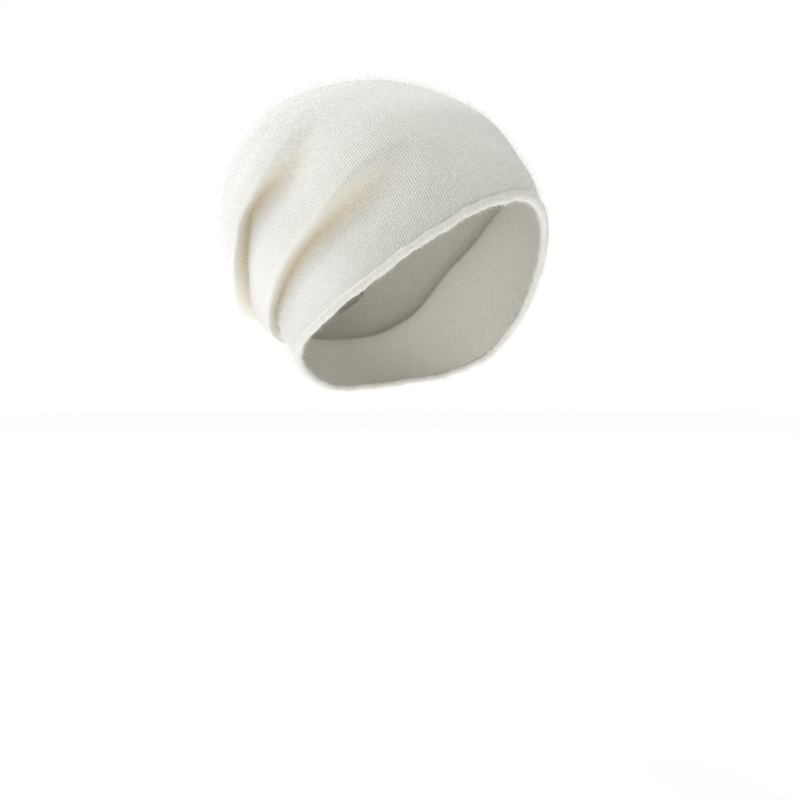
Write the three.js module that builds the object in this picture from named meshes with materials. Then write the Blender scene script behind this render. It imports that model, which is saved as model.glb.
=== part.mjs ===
// A slouch beanie in fine plain knit, held in the form that it takes when worn: the front
// is filled out and the empty bag behind it sags into folds that fan from the nape.
// Millimetres, +Z up. The wearer looks along -Y, with the right ear towards -X.
// The origin is the middle of the opening, level with the ears.
import * as THREE from 'three';

// Driving sizes, in millimetres and degrees.
const openingLength = 175;
const openingWidth = 157;
const openingSlope = 31;
const openingSway = 8.8;
const edgeArch = 10;
const napeDip = 8.7;
const hatRise = 155;
const hatReach = 165;
const breadthEase = 1;
const hatBreadth = openingWidth + breadthEase;
const knitLength = 250;
const wallThickness = 2;
const rollDiameter = 5.8;
const rollLap = 0.6;
const seatGap = 0.3;
const foldDepth = 12;
const foldWidth = 14;

// Roundness of the sections: 2 is an ellipse, less is more pointed, more is squarer.
const edgeRoundness = 1.83;
const crownRoundness = 2.33;
const eggShare = 0.09;

// How far up the hat, as a share, the edge's own form has given way to the crown's: its
// roundness, its egg shape, and its arch, dip and sway.
const roundUpTo = 0.25;
const eggUpTo = 0.6;
const archUpTo = 0.35;

// The roll's section starts at this angle from outward, in radians, and stops just short
// of a full turn.
const lapAngle = 0.6;
const lapTurn = 6.19;

// How finely each piece is faceted.
const stepsRound = 68;
const stepsBetweenFolds = [9, 12, 14];
const rollSides = 13;

// The crown's sections, from the edge (at 0) to the closed end (at 1). Each is a tilted
// ring through a front point and a nape point. The y columns are shares of hatReach, the
// z columns shares of hatRise, and halfWidth is a share of half of hatBreadth.
const sections = [
  { at: 0.12, frontY: -0.481, frontZ: 0.533, napeY: 0.598, napeZ: -0.225, halfWidth: 1.003 },
  { at: 0.24, frontY: -0.379, frontZ: 0.668, napeY: 0.695, napeZ: -0.117, halfWidth: 0.986 },
  { at: 0.36, frontY: -0.266, frontZ: 0.802, napeY: 0.841, napeZ: -0.045, halfWidth: 0.972 },
  { at: 0.5, frontY: -0.091, frontZ: 0.916, napeY: 0.945, napeZ: 0.106, halfWidth: 0.95 },
  { at: 0.64, frontY: 0.105, frontZ: 0.994, napeY: 0.999, napeZ: 0.289, halfWidth: 0.947 },
  { at: 0.78, frontY: 0.327, frontZ: 1.007, napeY: 0.944, napeZ: 0.538, halfWidth: 0.85 },
  { at: 0.9, frontY: 0.522, frontZ: 0.989, napeY: 0.82, napeZ: 0.773, halfWidth: 0.535 },
  { at: 1, frontY: 0.67, frontZ: 0.96, napeY: 0.67, napeZ: 0.96, halfWidth: 0 },
];

// Where the two valleys run: the share of the way from the edge to the closed end, by
// degrees from the forehead. They are the same on both sides of the hat.
const valleys = [
  { at: 0, first: 0.25, second: 0.52 },
  { at: 40, first: 0.246, second: 0.52 },
  { at: 64, first: 0.24, second: 0.51 },
  { at: 80, first: 0.246, second: 0.512 },
  { at: 93, first: 0.253, second: 0.532 },
  { at: 104, first: 0.245, second: 0.538 },
  { at: 116, first: 0.229, second: 0.486 },
  { at: 128, first: 0.219, second: 0.412 },
  { at: 142, first: 0.214, second: 0.38 },
  { at: 160, first: 0.228, second: 0.385 },
  { at: 180, first: 0.235, second: 0.39 },
];

// The folds, nearest the edge first. level names the line on the knit that lies in the
// valley. A fold fades in from starts to full, in degrees from the forehead, but its ridge
// hangs fully over the valley only at hangs. Where it starts it is wider, by foldSpread.
const folds = [
  { valley: 'first', level: 0.25, starts: 40, full: 74, hangs: 100 },
  { valley: 'second', level: 0.5, starts: 58, full: 94, hangs: 106 },
];
const foldSpread = 0.8;

// Towards the nape the folds get shallower, down to this share of their depth.
const napeDepth = 0.6;
const napeTurn = { from: 115, to: 165 };
const humpPower = 1.8;

// A fold's section: its valley, the ridge on the crown's side, and how far that ridge
// hangs over the valley. size is a share of foldDepth. centre, and the widths near the
// edge and far from it, are shares of foldWidth.
const valleyFloor = { size: -0.5, centre: 0, near: 1.6, far: 0.3 };
const ridge = { size: 0.36, centre: 0.65, near: 0.4, far: 1.6 };
const overhang = { size: 0.45, centre: 0.62, near: 0.45, far: 1.8 };

// The small step, in radians or as a share, over which directions are measured.
const probe = 0.01;

const smooth = THREE.MathUtils.smoothstep;
const mix = THREE.MathUtils.lerp;
const radians = THREE.MathUtils.degToRad;

// The ring's outline as a unit superellipse: x across the hat, y from nape to front.
function roundedRing(angle, roundness, egg) {
  const front = Math.cos(angle);
  const side = Math.sin(angle);
  const sum = Math.abs(front) ** roundness + Math.abs(side) ** roundness;
  const radius = sum ** (-1 / roundness);
  return { x: -radius * side * (1 - egg * front), y: radius * front };
}

// The edge's own section, from the sizes of the opening.
function edgeSection() {
  const rise = (Math.tan(radians(openingSlope)) * openingLength) / 2;
  return {
    at: 0,
    frontY: -openingLength / 2,
    frontZ: rise + edgeArch,
    napeY: openingLength / 2,
    napeZ: -rise + edgeArch - napeDip,
    halfWidth: openingWidth / 2,
  };
}

// All sections in millimetres.
function sizedSections() {
  const sized = sections.map((row) => ({
    at: row.at,
    frontY: row.frontY * hatReach,
    frontZ: row.frontZ * hatRise,
    napeY: row.napeY * hatReach,
    napeZ: row.napeZ * hatRise,
    halfWidth: (row.halfWidth * hatBreadth) / 2,
  }));
  return [edgeSection(), ...sized];
}

function chordSlope(rows, index, column) {
  const run = rows[index + 1].at - rows[index].at;
  return (rows[index + 1][column] - rows[index][column]) / run;
}

// The slope of a smooth curve through a table's rows, at one of them.
function rowSlope(rows, index, column) {
  if (index === 0) {
    return 1.5 * chordSlope(rows, 0, column) - 0.5 * rowSlope(rows, 1, column);
  }
  if (index === rows.length - 1) {
    return 1.5 * chordSlope(rows, index - 1, column) - 0.5 * rowSlope(rows, index - 1, column);
  }
  const before = rows[index].at - rows[index - 1].at;
  const after = rows[index + 1].at - rows[index].at;
  const weighted = chordSlope(rows, index - 1, column) * after
    + chordSlope(rows, index, column) * before;
  return weighted / (before + after);
}

// Gives each row of a table its slopes, so that places between the rows can be read.
function curveThrough(rows) {
  const columns = Object.keys(rows[0]).filter((column) => column !== 'at');
  return rows.map((row, index) => {
    const slopes = columns.map((column) => [column, rowSlope(rows, index, column)]);
    return { ...row, slopes: Object.fromEntries(slopes) };
  });
}

// A table's columns anywhere between its rows.
function readBetween(rows, place) {
  const above = rows.findIndex((row) => row.at > place);
  const index = above < 0 ? rows.length - 2 : Math.max(above - 1, 0);
  const [low, high] = [rows[index], rows[index + 1]];
  const run = high.at - low.at;
  const t = (place - low.at) / run;
  const columns = {};
  for (const column of Object.keys(low.slopes)) {
    columns[column] = (2 * t ** 3 - 3 * t ** 2 + 1) * low[column]
      + (t ** 3 - 2 * t ** 2 + t) * run * low.slopes[column]
      + (3 * t ** 2 - 2 * t ** 3) * high[column]
      + (t ** 3 - t ** 2) * run * high.slopes[column];
  }
  return columns;
}

const sectionCurve = curveThrough(sizedSections());
const valleyCurve = curveThrough(valleys);

// A point of the smooth form, before the folds. The edge's arch, dip and sway fade out
// over the first third of the hat.
function smoothForm(angle, share) {
  const section = readBetween(sectionCurve, share);
  const roundness = mix(edgeRoundness, crownRoundness, Math.min(share / roundUpTo, 1));
  const egg = eggShare * Math.max(1 - share / eggUpTo, 0);
  const ring = roundedRing(angle, roundness, egg);
  const middle = { y: (section.frontY + section.napeY) / 2, z: (section.frontZ + section.napeZ) / 2 };
  const x = section.halfWidth * ring.x;
  const y = middle.y + ((section.frontY - section.napeY) / 2) * ring.y;
  let z = middle.z + ((section.frontZ - section.napeZ) / 2) * ring.y;
  const nearEdge = 1 - smooth(share, 0, archUpTo);
  const behind = Math.max(-Math.cos(angle), 0);
  z += nearEdge * edgeArch * (Math.cos(2 * angle) - 1);
  z -= nearEdge * napeDip * (behind ** 6 - behind);
  z -= nearEdge * Math.tan(radians(openingSway)) * x;
  return new THREE.Vector3(x, y, z);
}

// The directions of the smooth form: outward, and along it to the closed end.
function formDirections(angle, share) {
  const low = Math.max(share - probe, 0);
  const high = Math.min(share + probe, 1 - probe);
  const along = smoothForm(angle, high).sub(smoothForm(angle, low));
  const round = smoothForm(angle + probe, share).sub(smoothForm(angle - probe, share));
  const outward = new THREE.Vector3().crossVectors(along, round).normalize();
  return { outward, along: along.normalize() };
}

// Degrees round the hat from the middle of the forehead, the shorter way.
function degreesFromFront(angle) {
  const degrees = THREE.MathUtils.euclideanModulo(THREE.MathUtils.radToDeg(angle), 360);
  return Math.min(degrees, 360 - degrees);
}

// The knit is gathered towards the nape, so a line that lies level on it at the ear runs
// with the folds. This gives where such a line is on the smooth form.
function gathered(level, degrees) {
  const places = readBetween(valleyCurve, degrees);
  let [from, start] = [0, 0];
  for (const fold of folds) {
    const valley = places[fold.valley];
    if (level <= fold.level) {
      return mix(start, valley, (level - from) / (fold.level - from));
    }
    [from, start] = [fold.level, valley];
  }
  return mix(start, 1, (level - from) / (1 - from));
}

// A bump whose two sides may differ in width. away is in fold widths.
function hump(shape, away) {
  const width = away < shape.centre ? shape.near : shape.far;
  return shape.size * Math.exp(-(Math.abs((away - shape.centre) / width) ** humpPower));
}

// How far the folds move the knit: out of the smooth form, and down towards the edge.
function foldOffset(level, degrees) {
  const offset = { out: 0, down: 0 };
  const depth = mix(1, napeDepth, smooth(degrees, napeTurn.from, napeTurn.to));
  for (const fold of folds) {
    const grown = depth * smooth(degrees, fold.starts, fold.full);
    const hanging = smooth(degrees, fold.starts, fold.hangs);
    const width = foldWidth * (1 + foldSpread * (1 - hanging));
    const away = ((level - fold.level) * knitLength) / width;
    offset.out += grown * foldDepth * (hump(valleyFloor, away) + hump(ridge, away));
    offset.down += (depth * hanging) ** 1.5 * foldDepth * hump(overhang, away);
  }
  return offset;
}

// The crown's lower edge stops short of the roll. This lift, as a share of the way up the
// hat, fades out by the first fold.
function liftOffRoll(angle, level) {
  const perShare = smoothForm(angle, probe).distanceTo(smoothForm(angle, 0)) / probe;
  const lift = (rollDiameter / 2 + rollLap / 2 + seatGap) / perShare;
  return lift * Math.max(1 - level / folds[0].level, 0);
}

// A point of the folded knit's outer face.
function knitPoint(angle, level) {
  const degrees = degreesFromFront(angle);
  const share = gathered(level, degrees) + liftOffRoll(angle, level);
  const { outward, along } = formDirections(angle, share);
  const offset = foldOffset(level, degrees);
  const point = smoothForm(angle, share).addScaledVector(outward, offset.out);
  return point.addScaledVector(along, -offset.down);
}

// Angles are closer together round the nape, where the folds are.
function angleAt(step, steps) {
  const even = (step / steps) * 2 * Math.PI;
  return even + 0.25 * Math.sin(even);
}

// The levels of the crown's rings. One runs along each valley, with others close to it.
function ringLevels() {
  const stops = [0, ...folds.map((fold) => fold.level), 1];
  const levels = [];
  for (const [index, steps] of stepsBetweenFolds.entries()) {
    for (let step = 0; step < steps; step += 1) {
      const even = step / steps;
      const crowded = even - (0.45 * Math.sin(2 * Math.PI * even)) / (2 * Math.PI);
      levels.push(mix(stops[index], stops[index + 1], crowded));
    }
  }
  return levels;
}

// Joins rings of points, each ring closed on itself, by two triangles a side.
function bandBetween(lower, upper, count) {
  const faces = [];
  for (let i = 0; i < count; i += 1) {
    const next = (i + 1) % count;
    faces.push(lower + i, lower + next, upper + next);
    faces.push(lower + i, upper + next, upper + i);
  }
  return faces;
}

function meshOf(points, faces) {
  const geometry = new THREE.BufferGeometry();
  const numbers = points.flatMap((point) => point.toArray());
  geometry.setAttribute('position', new THREE.Float32BufferAttribute(numbers, 3));
  geometry.setIndex(faces);
  geometry.computeVertexNormals();
  return geometry;
}

// The triangles over rings of points that close in on a last point, the end.
function capFaces(ringCount, count) {
  const faces = [];
  for (let ring = 0; ring + 1 < ringCount; ring += 1) {
    faces.push(...bandBetween(ring * count, (ring + 1) * count, count));
  }
  const last = (ringCount - 1) * count;
  for (let step = 0; step < count; step += 1) {
    faces.push(last + step, last + ((step + 1) % count), ringCount * count);
  }
  return faces;
}

// The crown and bag: one wall of knit, open at the edge and closed at the end. The inner
// face is the outer one moved in by the wall, along the outer face's own direction.
function crownGeometry() {
  const levels = ringLevels();
  const outer = [];
  for (const level of levels) {
    for (let step = 0; step < stepsRound; step += 1) {
      const angle = angleAt(step, stepsRound);
      outer.push(knitPoint(angle, level));
    }
  }
  outer.push(smoothForm(0, 1));
  const outerFaces = capFaces(levels.length, stepsRound);
  const outward = meshOf(outer, outerFaces).getAttribute('normal');
  const inner = outer.map((point, index) => {
    const direction = new THREE.Vector3().fromBufferAttribute(outward, index);
    return point.clone().addScaledVector(direction, -wallThickness);
  });
  const innerFaces = outerFaces.map((index) => index + outer.length).reverse();
  const hem = bandBetween(outer.length, 0, stepsRound);
  return meshOf([...outer, ...inner], [...outerFaces, ...innerFaces, ...hem]);
}

// The rolled edge: the knit's own curl, a fat cord that follows the opening, with a step
// where its raw edge laps up against the crown.
function rolledEdgeGeometry() {
  const points = [];
  for (let step = 0; step < stepsRound; step += 1) {
    const angle = angleAt(step, stepsRound);
    const middle = smoothForm(angle, 0);
    const run = smoothForm(angle + probe, 0).sub(smoothForm(angle - probe, 0)).normalize();
    const { outward } = formDirections(angle, 0);
    outward.addScaledVector(run, -outward.dot(run)).normalize();
    const up = new THREE.Vector3().crossVectors(run, outward);
    for (let side = 0; side < rollSides; side += 1) {
      const wound = side / (rollSides - 1);
      const turned = lapAngle + wound * lapTurn;
      const radius = rollDiameter / 2 + rollLap * (wound - 0.5);
      const point = middle.clone();
      point.addScaledVector(outward, radius * Math.cos(turned));
      point.addScaledVector(up, radius * Math.sin(turned));
      points.push(point);
    }
  }
  const faces = [];
  for (let step = 0; step < stepsRound; step += 1) {
    const here = step * rollSides;
    const next = ((step + 1) % stepsRound) * rollSides;
    faces.push(...bandBetween(here, next, rollSides));
  }
  return meshOf(points, faces);
}

const knit = new THREE.MeshStandardMaterial({ color: 0xf1f0ea, roughness: 0.95, metalness: 0 });
const curl = new THREE.MeshStandardMaterial({ color: 0xf5f3ee, roughness: 0.95, metalness: 0 });
const hat = new THREE.Group();

const crown = new THREE.Mesh(crownGeometry(), knit);
crown.name = 'crown';
hat.add(crown);

const rolledEdge = new THREE.Mesh(rolledEdgeGeometry(), curl);
rolledEdge.name = 'rolled_edge';
hat.add(rolledEdge);

export default hat;
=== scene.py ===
# %% [markdown]
# A slouch beanie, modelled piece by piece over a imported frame.
# The hat is one tube of fine plain knit, in the form that it takes when worn. Its front is
# full, and the empty bag behind sags into folds that fan out from the nape. Its lower edge
# curls outwards by itself into a soft cord. The script makes those two pieces and the
# loose fibres on them, gives them a stitch-by-stitch finish, and sets up a pale studio
# round them. The frame comes first, since every piece rides on it.

# %% Load the frame
import math
from collections import namedtuple

import bmesh
import bpy
import numpy as np
from mathutils import Matrix, Vector


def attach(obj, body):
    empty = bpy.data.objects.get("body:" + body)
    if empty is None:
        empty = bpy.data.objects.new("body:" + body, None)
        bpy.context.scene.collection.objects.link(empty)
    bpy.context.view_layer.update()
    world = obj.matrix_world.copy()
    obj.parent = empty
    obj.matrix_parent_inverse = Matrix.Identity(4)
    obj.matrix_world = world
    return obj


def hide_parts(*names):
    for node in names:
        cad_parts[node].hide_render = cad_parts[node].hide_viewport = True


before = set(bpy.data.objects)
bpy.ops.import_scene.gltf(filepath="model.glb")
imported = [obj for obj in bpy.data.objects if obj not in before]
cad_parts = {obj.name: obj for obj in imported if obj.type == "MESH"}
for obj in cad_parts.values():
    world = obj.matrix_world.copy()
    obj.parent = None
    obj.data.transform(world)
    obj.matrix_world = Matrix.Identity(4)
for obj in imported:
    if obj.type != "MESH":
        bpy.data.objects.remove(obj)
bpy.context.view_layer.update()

# %% [markdown]
# The hat's sizes, in millimetres and degrees, as one would measure them with a tape.
# The opening is not flat: it climbs from the nape to the forehead, arches over the ears,
# and tips a little to one side, as a hat does once it is pulled on.

# %% Sizes
MM = 0.001
OPENING_LENGTH = 175.0
OPENING_WIDTH = 157.0
OPENING_SLOPE = 31.0
OPENING_SWAY = 8.8
EDGE_ARCH = 10.0
NAPE_DIP = 8.7
HAT_RISE = 155.0
HAT_REACH = 165.0
HAT_BREADTH = 158.0
KNIT_LENGTH = 250.0
WALL = 2.0
ROLL_DIAMETER = 5.1
ROLL_LAP = 0.5
FOLD_DEPTH = 12.0
FOLD_WIDTH = 14.0
EDGE_ROUNDNESS = 1.83
CROWN_ROUNDNESS = 2.33
EGG_SHARE = 0.09
ROUND_UP_TO = 0.25
EGG_UP_TO = 0.6
ARCH_UP_TO = 0.35

# %% [markdown]
# The form is a stack of tilted rings, like slices of a bent sausage. Each row of the table
# is one ring: how far along the knit it lies, and where it meets the front and the nape,
# as shares of the hat's reach and rise. Rings are better than a sphere pushed about,
# because a knitted tube really is made ring by ring, so the stitches will follow them.

# %% The table of sections
Section = namedtuple("Section", "at front_y front_z nape_y nape_z half_width")
SECTIONS = [
    Section(at=0.12, front_y=-0.481, front_z=0.533, nape_y=0.598, nape_z=-0.225, half_width=1.003),
    Section(at=0.24, front_y=-0.379, front_z=0.668, nape_y=0.695, nape_z=-0.117, half_width=0.986),
    Section(at=0.36, front_y=-0.266, front_z=0.802, nape_y=0.841, nape_z=-0.045, half_width=0.972),
    Section(at=0.5, front_y=-0.091, front_z=0.916, nape_y=0.945, nape_z=0.106, half_width=0.95),
    Section(at=0.64, front_y=0.105, front_z=0.994, nape_y=0.999, nape_z=0.289, half_width=0.947),
    Section(at=0.78, front_y=0.327, front_z=1.007, nape_y=0.944, nape_z=0.538, half_width=0.85),
    Section(at=0.9, front_y=0.522, front_z=0.989, nape_y=0.82, nape_z=0.773, half_width=0.535),
    Section(at=1.0, front_y=0.67, front_z=0.96, nape_y=0.67, nape_z=0.96, half_width=0.0),
]

edge_rise = math.tan(math.radians(OPENING_SLOPE)) * OPENING_LENGTH / 2
ROWS = np.array(
    [[0.0, -OPENING_LENGTH / 2, edge_rise + EDGE_ARCH, OPENING_LENGTH / 2,
      EDGE_ARCH - edge_rise - NAPE_DIP, OPENING_WIDTH / 2]]
    + [[s.at, s.front_y * HAT_REACH, s.front_z * HAT_RISE, s.nape_y * HAT_REACH,
        s.nape_z * HAT_RISE, s.half_width * HAT_BREADTH / 2] for s in SECTIONS]
)
print(len(ROWS), "sections, the edge among them")

# %% [markdown]
# Between two rows the form follows a smooth curve. numpy works on thousands of points at
# once, which keeps a fine mesh quick to shape. The slopes at the rows come from their
# neighbours, so the curve has no kink at a row.

# %% A smooth curve through the rows of a table
def row_slopes(rows):
    """The slopes of a smooth curve at each row. The first column is where the rows are."""
    run = np.diff(rows[:, 0])[:, None]
    chord = np.diff(rows[:, 1:], axis=0) / run
    slope = np.zeros_like(rows[:, 1:])
    slope[1:-1] = (chord[:-1] * run[1:] + chord[1:] * run[:-1]) / (run[:-1] + run[1:])
    slope[0] = 1.5 * chord[0] - 0.5 * slope[1]
    slope[-1] = 1.5 * chord[-1] - 0.5 * slope[-2]
    return slope


def between_rows(rows, slope, place):
    """The table's other columns at any place, on a smooth curve through the rows."""
    index = np.clip(np.searchsorted(rows[:, 0], place, side="right") - 1, 0, len(rows) - 2)
    span = (rows[index + 1, 0] - rows[index, 0])[:, None]
    t = (place[:, None] - rows[index, :1]) / span
    low, high = rows[index, 1:], rows[index + 1, 1:]
    value = (2 * t**3 - 3 * t**2 + 1) * low + (t**3 - 2 * t**2 + t) * span * slope[index]
    value += (3 * t**2 - 2 * t**3) * high + (t**3 - t**2) * span * slope[index + 1]
    return value.T


ROW_SLOPES = row_slopes(ROWS)


def section_at(share):
    """Front y and z, nape y and z, and half width, at any share of the way up the hat."""
    return between_rows(ROWS, ROW_SLOPES, share)


def smooth(value, low, high):
    """0 below low, 1 above high, and an S-curve between."""
    t = np.clip((value - low) / (high - low), 0, 1)
    return t * t * (3 - 2 * t)


def smooth_form(angle, share):
    """Points of the hat before its folds, in millimetres. Angle 0 is the forehead."""
    front_y, front_z, nape_y, nape_z, half_width = section_at(share)
    front, side = np.cos(angle), np.sin(angle)
    crown_like = np.minimum(share / ROUND_UP_TO, 1)
    roundness = EDGE_ROUNDNESS + (CROWN_ROUNDNESS - EDGE_ROUNDNESS) * crown_like
    radius = (np.abs(front) ** roundness + np.abs(side) ** roundness) ** (-1 / roundness)
    egg = EGG_SHARE * np.maximum(1 - share / EGG_UP_TO, 0)
    x = -half_width * radius * side * (1 - egg * front)
    y = (front_y + nape_y) / 2 + (front_y - nape_y) / 2 * radius * front
    z = (front_z + nape_z) / 2 + (front_z - nape_z) / 2 * radius * front
    near_edge = 1 - smooth(share, 0, ARCH_UP_TO)
    behind = np.maximum(-front, 0)
    z = z + near_edge * EDGE_ARCH * (np.cos(2 * angle) - 1)
    z = z - near_edge * NAPE_DIP * (behind**6 - behind)
    z = z - near_edge * math.tan(math.radians(OPENING_SWAY)) * x
    return np.stack([x, y, z], axis=-1)


half_way = section_at(np.array([0.5]))[:, 0]
print("half way up, the hat is", round(2 * half_way[4]), "mm wide")

# %% [markdown]
# The folds, the roll and the fibres all stand off this form, so it also has to say which
# way is out. Two short steps along the surface give that, and no mesh is needed for it.

# %% Directions on the form
PROBE = 0.01


def unit(vectors):
    return vectors / np.maximum(np.linalg.norm(vectors, axis=-1, keepdims=True), 1e-9)


def directions(angle, share):
    """The outward direction of the smooth form, and the one along it to the closed end."""
    low, high = np.maximum(share - PROBE, 0), np.minimum(share + PROBE, 1 - PROBE)
    along = smooth_form(angle, high) - smooth_form(angle, low)
    round_it = smooth_form(angle + PROBE, share) - smooth_form(angle - PROBE, share)
    return unit(np.cross(along, round_it)), unit(along)


nape_outward, _ = directions(np.array([np.pi]), np.array([0.0]))
print("out of the nape's edge is", nape_outward[0].round(2))

# %% [markdown]
# Where the bag hangs back, the knit behind the ears has nowhere to go, so it folds. Each
# fold is a valley that fades in above the ear and deepens towards the nape, and a plump
# ridge on its crown side that hangs over it. A fold could be sculpted by hand, but a few
# named numbers are easier to correct against a photograph. One table says where the two
# valleys run, and one row for each fold says how it is shaped across.

# %% The folds
Valley = namedtuple("Valley", "degrees first second")
VALLEYS = [
    Valley(degrees=0, first=0.25, second=0.52),
    Valley(degrees=40, first=0.246, second=0.52),
    Valley(degrees=64, first=0.25, second=0.515),
    Valley(degrees=80, first=0.257, second=0.52),
    Valley(degrees=93, first=0.261, second=0.538),
    Valley(degrees=104, first=0.249, second=0.54),
    Valley(degrees=116, first=0.229, second=0.486),
    Valley(degrees=128, first=0.219, second=0.412),
    Valley(degrees=142, first=0.214, second=0.38),
    Valley(degrees=160, first=0.228, second=0.385),
    Valley(degrees=180, first=0.235, second=0.39),
]
VALLEY_ROWS = np.array(VALLEYS, dtype=float)
VALLEY_SLOPES = row_slopes(VALLEY_ROWS)

Fold = namedtuple("Fold", "level starts full hangs")
FOLDS = [
    Fold(level=0.25, starts=38, full=70, hangs=95),
    Fold(level=0.5, starts=56, full=90, hangs=102),
]
NAPE_DEPTH = 0.6
NAPE_TURN = (115, 165)
FOLD_SPREAD = 0.4
HUMP_POWER = 1.8
HANG_POWER = 1.5

Hump = namedtuple("Hump", "size centre near far")
VALLEY_FLOOR = Hump(size=-0.55, centre=0.0, near=1.6, far=0.3)
RIDGE = Hump(size=0.42, centre=0.65, near=0.4, far=1.6)
# Where painted light goes on a ridge's shaded flank.
FLANK_LIGHT_BAND = Hump(size=1.0, centre=0.3, near=0.5, far=0.5)
# Where painted shade goes in the crease below a ridge.
CREASE_SHADE_BAND = Hump(size=1.0, centre=0.0, near=0.8, far=0.25)
OVERHANG = Hump(size=1.15, centre=0.62, near=0.45, far=1.8)


def hump(shape, away):
    """A bump whose two sides may differ in width. Away is in fold widths."""
    width = np.where(away < shape.centre, shape.near, shape.far)
    return shape.size * np.exp(-np.abs((away - shape.centre) / width) ** HUMP_POWER)


def degrees_from_front(angle):
    degrees = np.degrees(angle) % 360
    return np.minimum(degrees, 360 - degrees)


def gathered(level, degrees):
    """Where a line that lies level on the knit runs on the smooth form."""
    first, second = between_rows(VALLEY_ROWS, VALLEY_SLOPES, degrees)
    levels = [0.0, FOLDS[0].level, FOLDS[1].level, 1.0]
    places = [0 * first, first, second, 1 + 0 * first]
    share = 0 * level
    for i in range(3):
        part = (level - levels[i]) / (levels[i + 1] - levels[i])
        inside = (part >= 0) & ((part < 1) | (i == 2))
        share = np.where(inside, places[i] + (places[i + 1] - places[i]) * part, share)
    return share


def fold_offsets(level, degrees):
    """How far the knit stands out, how far it hangs towards the edge, and two masks, each from
    0 to 1: painted light on a ridge's shaded flank and painted shade in the crease below it."""
    out, hang, flank_light, crease_shade = 0 * level, 0 * level, 0 * level, 0 * level
    depth = 1 + (NAPE_DEPTH - 1) * smooth(degrees, *NAPE_TURN)
    for fold in FOLDS:
        grown = smooth(degrees, fold.starts, fold.full)
        hanging = smooth(degrees, fold.starts, fold.hangs)
        width = FOLD_WIDTH * (1 + FOLD_SPREAD * (1 - hanging))
        away = (level - fold.level) * KNIT_LENGTH / width
        out += depth * grown * FOLD_DEPTH * (hump(VALLEY_FLOOR, away) + hump(RIDGE, away))
        hang += (depth * hanging) ** HANG_POWER * FOLD_DEPTH * hump(OVERHANG, away)
        # Painted light: the mask of the ridge's shaded flank.
        flank_light = np.maximum(flank_light, depth * hanging * hump(FLANK_LIGHT_BAND, away))
        # Painted shade: the mask of the crease.
        crease_shade = np.maximum(crease_shade, depth * hanging * hump(CREASE_SHADE_BAND, away))
    return out, hang, flank_light, crease_shade


def knit_points(angle, level, lift):
    """Points of the folded knit's outer face, and its masks of painted light and painted shade."""
    degrees = degrees_from_front(angle)
    share = gathered(level, degrees) + lift * np.maximum(1 - level / FOLDS[0].level, 0)
    outward, along = directions(angle, share)
    out, hang, flank_light, crease_shade = fold_offsets(level, degrees)
    points = smooth_form(angle, share) + outward * out[:, None] - along * hang[:, None]
    return points, flank_light, crease_shade


print(len(FOLDS), "folds, whose valleys follow", len(VALLEYS), "rows")

# %% [markdown]
# The crown starts as a flat grid, which is what a length of knit is. Its columns become
# the stitch columns and its rows the courses. The grid is rolled into the hat's form, its
# two sides are joined, and its top is drawn together. The UV map is written while it is
# still a grid, so the stitches follow the knit however the bag folds. Three attributes go
# with it: where the gutters' painted shade is faded, so that its columns hardly show,
# where a ridge's shaded flank gets painted light, and where a crease gets painted shade.
# Solidify then gives the knit its thickness, inwards.

# %% The crown
STEPS_ROUND = 300
STEPS_ALONG = 150
COLUMN_LEAN = 0.09
LEANS_FROM = 0.27
ROW_SHARES = (0.0, 0.3, 0.62, 1.0)
CLEAR_FROM = (15, 50)
CLEAR_TO = (62, 88)
CLEAR_TURN = 80
CLEAR_UP_TO = (0.34, 0.54)
SUNK_IN_ROLL = 0.5
MERGE_WITHIN = 0.02
CROWD_NAPE = 0.25


def crowd(even, amount):
    """Moves evenly spaced values towards both ends of 0 to 1."""
    return even - amount * np.sin(2 * np.pi * even) / (2 * np.pi)


def level_of(v):
    """The level of a grid row: rows are closer together at the valleys."""
    stops = np.array([0.0, FOLDS[0].level, FOLDS[1].level, 1.0])
    shares = np.array(ROW_SHARES)
    index = np.clip(np.searchsorted(shares, v, side="right") - 1, 0, 2)
    part = (v - shares[index]) / (shares[index + 1] - shares[index])
    return stops[index] + (stops[index + 1] - stops[index]) * crowd(part, 0.5)


def set_uv(bm, across, up):
    """Writes a UV map from one pair of values for each vertex."""
    layer = bm.loops.layers.uv.new("Knit")
    for face in bm.faces:
        for loop in face.loops:
            i = loop.vert.index
            loop[layer].uv = (across[i], up[i])


def finish_mesh(bm, name):
    mesh = bpy.data.meshes.new(name)
    bm.to_mesh(mesh)
    bm.free()
    mesh.shade_smooth()
    piece = bpy.data.objects.new(name, mesh)
    bpy.context.scene.collection.objects.link(piece)
    print(name, len(mesh.vertices), "vertices")
    return piece


def along_course(points):
    """How far round its course each point lies, from 0 to 1, as a tape would measure it."""
    courses = points.reshape(STEPS_ALONG + 1, STEPS_ROUND + 1, 3)
    steps = np.linalg.norm(np.diff(courses, axis=1), axis=2)
    steps[-1] = steps[-2]
    run = np.insert(np.cumsum(steps, axis=1), 0, 0, axis=1)
    return (run / run[:, -1:]).ravel()


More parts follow.
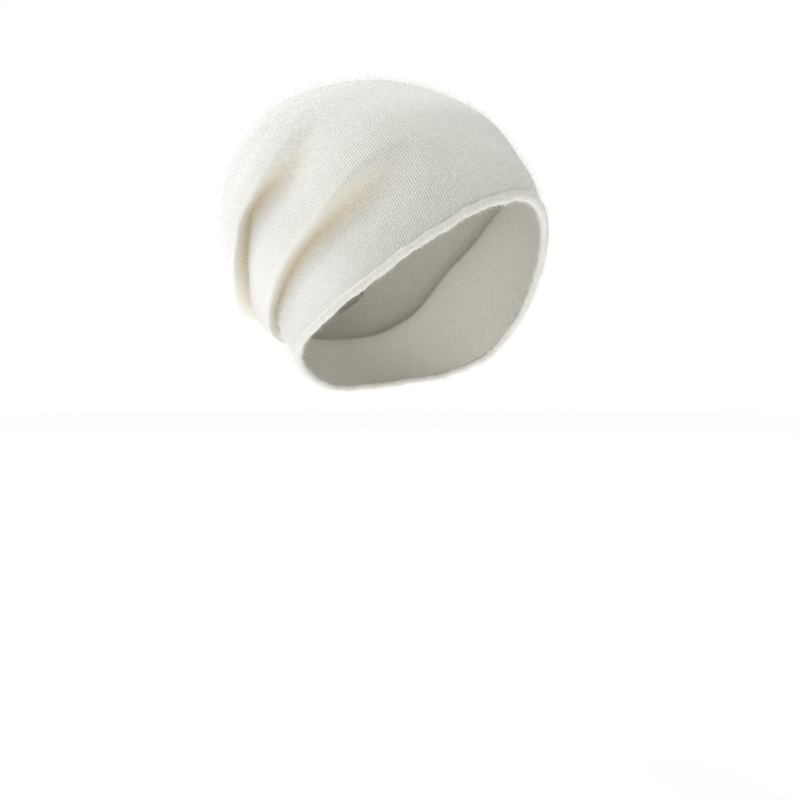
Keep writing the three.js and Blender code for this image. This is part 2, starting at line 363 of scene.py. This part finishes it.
def make_crown():
    bm = bmesh.new()
    bmesh.ops.create_grid(bm, x_segments=STEPS_ROUND, y_segments=STEPS_ALONG, size=0.5)
    bm.verts.ensure_lookup_table()
    bm.verts.index_update()
    flat = np.array([vert.co[:] for vert in bm.verts])
    around = flat[:, 0] + 0.5
    even = around * 2 * np.pi
    angle = even + CROWD_NAPE * np.sin(even)
    level = level_of(np.clip(flat[:, 1] + 0.5, 0, 1))
    edge = 0 * angle
    start = np.linalg.norm(smooth_form(angle, edge + PROBE) - smooth_form(angle, edge), axis=-1)
    lift = (ROLL_DIAMETER / 2 - SUNK_IN_ROLL) * PROBE / start
    points, flank_light, crease_shade = knit_points(angle, level, lift)
    degrees = degrees_from_front(angle)
    unfolded = smooth_form(angle, gathered(level, degrees))
    lean = COLUMN_LEAN * np.sin(angle) * level * (level - LEANS_FROM)
    set_uv(bm, along_course(unfolded) + lean, level)
    # The gutters' painted shade is faded everywhere except a patch low on each side, towards the
    # front.
    clear = smooth(degrees, *CLEAR_FROM)
    clear = clear * (1 - smooth(degrees - CLEAR_TURN * level, *CLEAR_TO))
    gutter_shade_faded = 1 - clear * (1 - smooth(level, *CLEAR_UP_TO))
    gutter_fade_layer = bm.verts.layers.float.new("gutter_shade_faded")
    # The mask of painted light on the ridges' shaded flanks.
    flank_light_layer = bm.verts.layers.float.new("flank_light")
    # The mask of painted shade in the creases.
    crease_shade_layer = bm.verts.layers.float.new("crease_shade")
    for i, vert in enumerate(bm.verts):
        vert.co = points[i] * MM
        vert[gutter_fade_layer] = gutter_shade_faded[i]
        vert[flank_light_layer] = flank_light[i]
        vert[crease_shade_layer] = crease_shade[i]
    bmesh.ops.remove_doubles(bm, verts=bm.verts, dist=MERGE_WITHIN * MM)
    bmesh.ops.recalc_face_normals(bm, faces=bm.faces)
    return finish_mesh(bm, "crown_knit")


crown = make_crown()
wall = crown.modifiers.new("wall", "SOLIDIFY")
wall.thickness = WALL * MM
wall.offset = -1.0
wall.material_offset = 1

# %% [markdown]
# Plain knit curls at its edge, and here the curl has been left to form the hat's border.
# It is a soft cord, a little thicker in some places than in others. A curve with a bevel
# would give a perfectly even tube, so the cord is a second grid wrapped round the edge,
# with a section that winds inwards and ends in a small step where the raw edge lies.

# %% The rolled edge
ROLL_STEPS = 720
ROLL_SIDES = 28
LAP_ANGLE = 1.25
LAP_TURN = 6.19

Wave = namedtuple("Wave", "times_round size start")
LUMPS = [Wave(23, 0.05, 1.0), Wave(41, 0.04, 2.3), Wave(67, 0.03, 0.0)]
SWAYS = [Wave(13, 0.35, 0.7), Wave(29, 0.25, 1.9)]
LAP_WANDERS = [Wave(9, 0.12, 0.0)]
PLUMP = 0.22
PLUMP_AT = 8
PLUMP_WIDTH = 26


def waves(rows, angle):
    """Small waves that each run a whole number of times round the edge, added up."""
    return sum(row.size * np.sin(row.times_round * angle + row.start) for row in rows)


def roll_points(angle, wound, lift):
    """Points of the cord, lifted off it by so many millimetres. Wound goes from 0 to 1."""
    edge = 0 * angle
    run_along = unit(smooth_form(angle + PROBE, edge) - smooth_form(angle - PROBE, edge))
    outward, _ = directions(angle, edge)
    outward = unit(outward - run_along * np.sum(outward * run_along, axis=1, keepdims=True))
    up = np.cross(run_along, outward)
    turned = LAP_ANGLE + wound * LAP_TURN + waves(LAP_WANDERS, angle)
    from_plump = (np.degrees(angle) - PLUMP_AT + 180) % 360 - 180
    plump = PLUMP * np.exp(-(from_plump / PLUMP_WIDTH) ** 2)
    even_radius = ROLL_DIAMETER / 2 + ROLL_LAP * (wound - 0.5)
    radius = even_radius * (1 + waves(LUMPS, angle) + plump) + lift
    across = radius * np.cos(turned)
    along = radius * np.sin(turned) + waves(SWAYS, angle)
    return smooth_form(angle, edge) + outward * across[:, None] + up * along[:, None]


def make_rolled_edge():
    bm = bmesh.new()
    bmesh.ops.create_grid(bm, x_segments=ROLL_STEPS, y_segments=ROLL_SIDES, size=0.5)
    bm.verts.index_update()
    flat = np.array([vert.co[:] for vert in bm.verts]) + 0.5
    set_uv(bm, flat[:, 0], flat[:, 1])
    points = roll_points(flat[:, 0] * 2 * np.pi, flat[:, 1], 0)
    for vert, point in zip(bm.verts, points):
        vert.co = point * MM
    bmesh.ops.remove_doubles(bm, verts=bm.verts, dist=MERGE_WITHIN * MM)
    rims = [edge for edge in bm.edges if edge.is_boundary]
    bmesh.ops.bridge_loops(bm, edges=rims)
    bmesh.ops.recalc_face_normals(bm, faces=bm.faces)
    return finish_mesh(bm, "edge_curl")


rolled_edge = make_rolled_edge()

# %% [markdown]
# Wool is fuzzy: fine loose fibres stand off the knit, and against the light they blur its
# outline. Each fibre is a narrow strip in two parts, broad at the root and pointed at the
# tip, which rises and then bends over. Tens of thousands of them would be slow to add one
# by one, so one long ladder of a grid is made, every third rung is cut out, and what is
# left is laid over the knit. The places are drawn at random from a fixed seed.

# %% The fuzz
KNIT_HAIRS = 37000
ROLL_HAIRS = 12000
HAIR_LENGTH = (2.0, 6.0)
ROLL_HAIR_SHARE = 0.55
HAIR_WIDTH = 0.1
HAIR_STAND = (0.15, 0.7)
HAIR_LEVELS = (0.02, 0.985)
LOWERED_TO = 0.7
rng = np.random.default_rng(11)


def knit_roots():
    """Random places on the knit, and the way straight up from each. Towards the closed
    end, where the hat narrows, some are lowered, so that they lie evenly thick."""
    angle, level = rng.uniform(0, 2 * np.pi, KNIT_HAIRS), rng.uniform(0, 1, KNIT_HAIRS)
    room = section_at(level)[4] / (HAT_BREADTH / 2)
    level = np.where(rng.random(KNIT_HAIRS) < room, level, level * LOWERED_TO)
    angle = angle + CROWD_NAPE * np.sin(angle)
    level = np.clip(level, *HAIR_LEVELS)
    roots, *_ = knit_points(angle, level, 0)
    round_it = knit_points(angle + PROBE, level, 0)[0] - knit_points(angle - PROBE, level, 0)[0]
    half = PROBE / 2
    along = knit_points(angle, level + half, 0)[0] - knit_points(angle, level - half, 0)[0]
    return roots, unit(np.cross(along, round_it))


def roll_roots():
    angle, wound = rng.uniform(0, 2 * np.pi, ROLL_HAIRS), rng.uniform(0, 1, ROLL_HAIRS)
    roots = roll_points(angle, wound, 0)
    return roots, unit(roll_points(angle, wound, 1) - roots)


def make_fuzz():
    places = [knit_roots(), roll_roots()]
    roots, straight_up = (np.concatenate(parts) for parts in zip(*places))
    count = len(roots)
    sideways = unit(np.cross(straight_up, rng.normal(size=(count, 3))))
    bent = unit(sideways + 0.5 * unit(np.cross(straight_up, rng.normal(size=(count, 3)))))
    length = rng.uniform(*HAIR_LENGTH, size=(count, 1))
    length[KNIT_HAIRS:] *= ROLL_HAIR_SHARE
    stand = rng.uniform(*HAIR_STAND, size=(count, 1))
    middle = roots + length * (straight_up * stand + sideways * 0.3)
    tip = middle + length * (straight_up * stand * 0.5 + bent * 0.45)
    broad = np.cross(straight_up, sideways) * HAIR_WIDTH / 2
    bm = bmesh.new()
    bmesh.ops.create_grid(bm, x_segments=1, y_segments=3 * count - 1, size=0.5)
    bm.faces.ensure_lookup_table()
    spare = [bm.faces[i] for i in range(2, len(bm.faces), 3)]
    bmesh.ops.delete(bm, geom=spare, context="FACES_ONLY")
    rungs = np.stack([roots - broad, roots + broad, middle - broad * 0.7, middle + broad * 0.7,
                      tip - broad * 0.2, tip + broad * 0.2], axis=1).reshape(-1, 3)
    for vert, point in zip(bm.verts, rungs):
        vert.co = point * MM
    return finish_mesh(bm, "loose_fibres")


fuzz = make_fuzz()

# %% [markdown]
# A material is a small sum written in nodes. To write it as a sum in Python too, Wire
# wraps one socket and lends it the usual operators; each adds a Math node. Graph makes
# any other node from its type, its settings and what goes into its sockets.

# %% Shader sums


class Wire:
    """One output socket, which can be added, multiplied and so on."""

    def __init__(self, graph, socket):
        self.graph = graph
        self.socket = socket

    def math(self, operation, first, second=None):
        inputs = {0: first} if second is None else {0: first, 1: second}
        return self.graph.node("ShaderNodeMath", {"operation": operation}, inputs)

    def __add__(self, other):
        return self.math("ADD", self, other)

    def __sub__(self, other):
        return self.math("SUBTRACT", self, other)

    def __rsub__(self, other):
        return self.math("SUBTRACT", other, self)

    def __mul__(self, other):
        return self.math("MULTIPLY", self, other)

    def __pow__(self, other):
        return self.math("POWER", self, other)

    def __abs__(self):
        return self.math("ABSOLUTE", self)

    __radd__ = __add__
    __rmul__ = __mul__


class Graph:
    """The node tree of a material or of the surround, and one way to add any node to it."""

    def __init__(self, owner):
        owner.use_nodes = True
        self.owner = owner
        self.tree = owner.node_tree
        self.tree.nodes.clear()

    def node(self, kind, settings=None, inputs=None, output=0):
        node = self.tree.nodes.new(kind)
        for key, value in (settings or {}).items():
            setattr(node, key, value)
        for key, value in (inputs or {}).items():
            if isinstance(value, Wire):
                self.tree.links.new(value.socket, node.inputs[key])
            else:
                node.inputs[key].default_value = value
        return Wire(self, node.outputs[output])

    def mix(self, factor, first, second):
        """Mixes two colours, each a wire or red, green, blue and 1."""
        settings = {"data_type": "RGBA"}
        return self.node("ShaderNodeMix", settings, {0: factor, 6: first, 7: second}, output=2)

    def noise(self, place, scale, detail=2.0):
        inputs = {"Vector": place, "Scale": scale, "Detail": detail}
        return self.node("ShaderNodeTexNoise", {}, inputs)

    def split(self, vector):
        first = self.node("ShaderNodeSeparateXYZ", {}, {0: vector})
        return first, Wire(self, first.socket.node.outputs[1])

    def finish(self, kind, surface):
        """Sends a shader to the output that the tree ends in."""
        output = self.tree.nodes.new(kind)
        self.tree.links.new(surface.socket, output.inputs["Surface"])
        return self.owner


# %% [markdown]
# Plain knit is columns of small V shapes, each made of two slanting legs, with a shaded
# gutter between one column and the next. From an arm's length away the gutters are what
# the eye sees: fine dark lines, broken up a little by each stitch. Sculpting eighty
# thousand stitches would take millions of faces, so they are a pattern on the UV map:
# across a column the height is a round, along it a smaller one for each stitch, slid
# upwards towards the column's sides so that the legs slant. The gutters' darkness is
# painted shade, faded where the columns should hardly show. A ridge's shaded flank gets a
# paler colour, which is painted light, and the creases get a warm, darker one, which is
# painted shade for light bounced from wall to wall.

# %% The knit's finish
WALES = 374
COURSES = 215
# Painted shade: the dark colour of the gutters between the stitch columns.
GUTTER_SHADE = (0.5, 0.48, 0.42, 1.0)
DARK_YARN, PALE_YARN = (0.575, 0.567, 0.53, 1.0), (1.0, 1.0, 0.992, 1.0)
# Painted light: a paler wool colour laid on the ridges' shaded flanks.
FLANK_PAINTED_LIGHT = (0.95, 0.93, 0.86, 1.0)
# Painted shade: a warm, darker colour in the creases, for light bounced from wall to wall.
CREASE_PAINTED_SHADE = (0.76, 0.64, 0.44, 1.0)
CLOUDS_PER_METRE = 120.0
WOBBLES_PER_METRE = 330.0
TUFTS_PER_METRE = 900.0
STITCH_RELIEF = 0.25
WANDER_OF_COLUMN = 0.5
SLANT_OF_LEGS = 0.8
GUTTER_SHADE_FROM = 0.27
# How far the gutters' painted shade fades where the columns should hardly show.
GUTTER_SHADE_FADING = 0.85
FLANK_LIGHT_AMOUNT = 0.9
CREASE_SHADE_AMOUNT = 0.75


def wool_shader(graph, colour, height=None, distance=0.0):
    inputs = {"Base Color": colour, "Roughness": 0.95, "Specular IOR Level": 0.1,
              "Sheen Weight": 0.5, "Sheen Roughness": 0.5}
    if height is not None:
        relief = {"Height": height, "Distance": distance}
        inputs["Normal"] = graph.node("ShaderNodeBump", {}, relief)
    shader = graph.node("ShaderNodeBsdfPrincipled", {}, inputs)
    return graph.finish("ShaderNodeOutputMaterial", shader)


def fraction(graph, value):
    return graph.node("ShaderNodeMath", {"operation": "FRACT"}, {0: value})


def attribute(graph, name):
    return graph.node("ShaderNodeAttribute", {"attribute_name": name}, output=2)


def knit_finish():
    graph = Graph(bpy.data.materials.new("fine_plain_knit"))
    across, up = graph.split(graph.node("ShaderNodeUVMap", {"uv_map": "Knit"}))
    place = graph.node("ShaderNodeTexCoord", output=3)
    cloudy = graph.noise(place, CLOUDS_PER_METRE)
    wobble = graph.noise(place, WOBBLES_PER_METRE)
    yarn = graph.noise(place, TUFTS_PER_METRE, 4.0)
    side = abs(fraction(graph, across * WALES + wobble * WANDER_OF_COLUMN) - 0.5)
    stitch = abs(fraction(graph, up * COURSES - side * SLANT_OF_LEGS) - 0.5) * 2
    height = 1 - side**2 * 3 - stitch * 0.25
    line = side + stitch * 0.08 + (yarn - 0.5) * 0.7
    # Painted shade in the gutters, uneven, and faded where the columns should hardly show.
    gutter_shade = graph.node("ShaderNodeMapRange", {}, {0: line, 1: GUTTER_SHADE_FROM, 2: 0.5})
    gutter_shade = gutter_shade * (0.7 + cloudy * 0.6)
    gutter_shade = gutter_shade * (1 - attribute(graph, "gutter_shade_faded") * GUTTER_SHADE_FADING)
    wool = graph.mix(yarn, DARK_YARN, PALE_YARN)
    # Painted shade: the gutters darken the wool's colour.
    colour = graph.mix(gutter_shade, wool, GUTTER_SHADE)
    # Painted light on the ridges' shaded flanks.
    colour = graph.mix(attribute(graph, "flank_light") * FLANK_LIGHT_AMOUNT, colour, FLANK_PAINTED_LIGHT)
    # Painted shade in the creases.
    colour = graph.mix(attribute(graph, "crease_shade") * CREASE_SHADE_AMOUNT, colour, CREASE_PAINTED_SHADE)
    return wool_shader(graph, colour, height, STITCH_RELIEF * MM)


# %% [markdown]
# The inside of the hat is the purl side: no columns show there, only rows of small bumps,
# each a short way along from the one below.

# %% The inner side's finish
DARK_PURL, PALE_PURL = (0.66, 0.63, 0.55, 1.0), (0.90, 0.88, 0.82, 1.0)


def inner_finish():
    graph = Graph(bpy.data.materials.new("purl_side"))
    across, up = graph.split(graph.node("ShaderNodeUVMap", {"uv_map": "Knit"}))
    row = up * COURSES
    side = abs(fraction(graph, across * WALES + row * 0.5) - 0.5) * 2
    bead = (1 - side**2) * (1 - (abs(fraction(graph, row) - 0.5) * 2) ** 2)
    place = graph.node("ShaderNodeTexCoord", output=3)
    cloudy = graph.noise(place, 300.0)
    # Paler on the beads and darker between them: painted shade in their hollows, over a random
    # cloudy tone.
    colour = graph.mix(bead * 0.6 + cloudy * 0.4, DARK_PURL, PALE_PURL)
    return wool_shader(graph, colour, bead, STITCH_RELIEF * MM)


# %% [markdown]
# The roll shows the knit's other side, whose stitches are small beads in rows. It is
# rubbed and a little felted, so the beads are soft and uneven, and noise does more of the
# work than the rows.

# %% The roll's finish
ROLL_ROWS = 13
ROLL_RELIEF = 0.3
DARK_CURL, PALE_CURL = (0.62, 0.605, 0.55, 1.0), (0.92, 0.91, 0.88, 1.0)


def curl_finish():
    graph = Graph(bpy.data.materials.new("curled_purl_side"))
    across, up = graph.split(graph.node("ShaderNodeUVMap", {"uv_map": "Knit"}))
    place = graph.node("ShaderNodeTexCoord", output=3)
    felt = graph.noise(place, 380.0)
    wander = graph.noise(place, 60.0)
    row = up * ROLL_ROWS + wander * 1.5
    side = abs(fraction(graph, across * WALES + row * 0.37) - 0.5) * 2
    bead = (1 - side**2) * (1 - (abs(fraction(graph, row) - 0.5) * 2) ** 2)
    height = bead * 0.4 + felt * 1.6
    # Paler where the beads and felt stand up and darker where they lie low: painted shade in the
    # hollows, partly also the felt's uneven tone.
    colour = graph.mix(bead * 0.35 + felt * 0.65, DARK_CURL, PALE_CURL)
    return wool_shader(graph, colour, height, ROLL_RELIEF * MM)


# %% [markdown]
# A loose fibre is painted a little paler than the yarn: painted light, for the light that passes
# through it.

# %% The fibres' finish
DARK_FIBRE, PALE_FIBRE = (0.94, 0.93, 0.9, 1.0), (1.0, 1.0, 0.99, 1.0)


def fibre_finish():
    graph = Graph(bpy.data.materials.new("loose_wool_fibre"))
    place = graph.node("ShaderNodeTexCoord", output=3)
    colour = graph.mix(graph.noise(place, 200.0), DARK_FIBRE, PALE_FIBRE)
    return wool_shader(graph, colour)


crown.data.materials.append(knit_finish())
crown.data.materials.append(inner_finish())
rolled_edge.data.materials.append(curl_finish())
fuzz.data.materials.append(fibre_finish())
print("finishes:", [material.name for material in bpy.data.materials])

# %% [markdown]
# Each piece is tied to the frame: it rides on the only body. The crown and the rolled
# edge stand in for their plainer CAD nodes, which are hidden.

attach(crown, "root")
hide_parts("crown")
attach(rolled_edge, "root")
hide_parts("rolled_edge")
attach(fuzz, "root")

# %% [markdown]
# The studio is a wide pale floor well below the hat, a bright surround and two soft
# lamps. The floor glows a little, so that it stays as pale as the surround.

# %% The floor
FLOOR_DROP = 0.30
FLOOR_RADIUS = 6.0
FLOOR_GLOW = 0.35


def make_floor():
    bm = bmesh.new()
    bmesh.ops.create_circle(bm, cap_ends=True, segments=64, radius=FLOOR_RADIUS)
    bmesh.ops.translate(bm, verts=bm.verts, vec=(0, 0, -FLOOR_DROP))
    floor = finish_mesh(bm, "floor")
    graph = Graph(bpy.data.materials.new("pale_floor"))
    shader = graph.node("ShaderNodeBsdfPrincipled", {}, {
        "Base Color": (0.85, 0.85, 0.85, 1.0), "Roughness": 0.9, "Specular IOR Level": 0.1,
        "Emission Color": (1.0, 1.0, 1.0, 1.0), "Emission Strength": FLOOR_GLOW,
    })
    floor.data.materials.append(graph.finish("ShaderNodeOutputMaterial", shader))


make_floor()

# %% [markdown]
# The camera stands where the photograph was taken from: 48 degrees round from the
# forehead towards the wearer's right ear, almost level with the opening. The lens gives
# the photograph's perspective, and the hat is put off the middle of the frame by moving
# the camera across, not by shifting the lens.

# %% The camera
FRAME_PIXELS = 800
FOCAL_PIXELS = 851
CAMERA_AZIMUTH = -47.6
CAMERA_PITCH = 1.5
CAMERA_DISTANCE = 0.572
OPENING_PIXEL = (421, 311)


def camera_axes():
    azimuth, pitch = math.radians(CAMERA_AZIMUTH), math.radians(CAMERA_PITCH)
    level = Vector((-math.sin(azimuth), math.cos(azimuth), 0))
    right = level.cross(Vector((0, 0, 1)))
    look = level * math.cos(pitch) - Vector((0, 0, 1)) * math.sin(pitch)
    return right, right.cross(look), look


right, up, look = camera_axes()
sideways = (OPENING_PIXEL[0] - FRAME_PIXELS / 2) / FOCAL_PIXELS
upwards = (FRAME_PIXELS / 2 - OPENING_PIXEL[1]) / FOCAL_PIXELS
camera_data = bpy.data.cameras.new("camera")
camera_data.sensor_width = 36.0
camera_data.lens = 36.0 * FOCAL_PIXELS / FRAME_PIXELS
camera_data.clip_start = 0.01
camera = bpy.data.objects.new("camera", camera_data)
bpy.context.scene.collection.objects.link(camera)
camera.matrix_world = Matrix.Translation(
    -(look + right * sideways + up * upwards) * CAMERA_DISTANCE
) @ Matrix((right, up, -look)).transposed().to_4x4()
bpy.context.scene.camera = camera
print("camera at", [round(value, 3) for value in camera.matrix_world.translation])

# %% [markdown]
# A large lamp stands high on the camera's left, a little behind the hat. Its light grazes
# the folds, so each ridge shades the valley below it. A weak second lamp on the right
# keeps that outline from going flat. Places are in metres, seen from the camera.

# %% The lights
COOL = (0.97, 0.985, 1.0)
NEUTRAL = (1.0, 1.0, 1.0)
Lamp = namedtuple("Lamp", "name to_right to_up back size watts colour")
LAMPS = [
    Lamp("key", to_right=-0.95, to_up=1.4, back=-0.3, size=0.7, watts=16.0, colour=COOL),
    Lamp("edge", to_right=1.3, to_up=0.9, back=-0.5, size=0.9, watts=1.5, colour=NEUTRAL),
]
for lamp in LAMPS:
    light = bpy.data.lights.new(lamp.name, "AREA")
    light.size = lamp.size
    light.energy = lamp.watts
    light.color = lamp.colour
    source = bpy.data.objects.new(lamp.name, light)
    bpy.context.scene.collection.objects.link(source)
    place = right * lamp.to_right + up * lamp.to_up - look * lamp.back
    source.location = place
    source.rotation_euler = (-place).to_track_quat("-Z", "Y").to_euler()
    print(lamp.name, "lamp,", lamp.watts, "watts")


# %% [markdown]
# The surround is a pale room, brightest overhead and on the left, dim behind the camera
# and dimmer still on the far right. So the face of the hat shades off, its outline catches
# light from the side, and its back keeps some shading too. What the camera sees of the
# room directly stays plain white.

# %% The surround
DIM_SIDE = (right * 0.55 - up * 0.5 - look).normalized()
DIM = (0.268, 0.247, 0.145, 1.0)
BRIGHT = (1.01, 1.02, 1.03, 1.0)
FAR_SIDE = (look + right * 0.5 - up * 0.2).normalized()
FAR = (0.13, 0.135, 0.14, 1.0)

world = bpy.data.worlds.new("surround")
bpy.context.scene.world = world
graph = Graph(world)
direction = graph.node("ShaderNodeTexCoord")


def share_of_room(side, low, high):
    """1 towards that side of the room and 0 away from it, with a smooth edge between."""
    towards = graph.node("ShaderNodeVectorMath", {"operation": "DOT_PRODUCT"},
                         {0: direction, 1: side}, output=1)
    return graph.node("ShaderNodeMapRange", {"interpolation_type": "SMOOTHSTEP"},
                      {0: towards, 1: low, 2: high})


light_of_room = graph.mix(share_of_room(DIM_SIDE, -0.25, 0.92), BRIGHT, DIM)
light_of_room = graph.mix(share_of_room(FAR_SIDE, 0.1, 0.75), light_of_room, FAR)
seen = graph.node("ShaderNodeLightPath")
colour = graph.mix(seen, light_of_room, (1.0, 1.0, 1.0, 1.0))
graph.finish("ShaderNodeOutputWorld", graph.node("ShaderNodeBackground", {}, {"Color": colour}))
print("the room is dim towards", tuple(round(value, 2) for value in DIM_SIDE))

bpy.context.scene.view_settings.view_transform = "Standard"
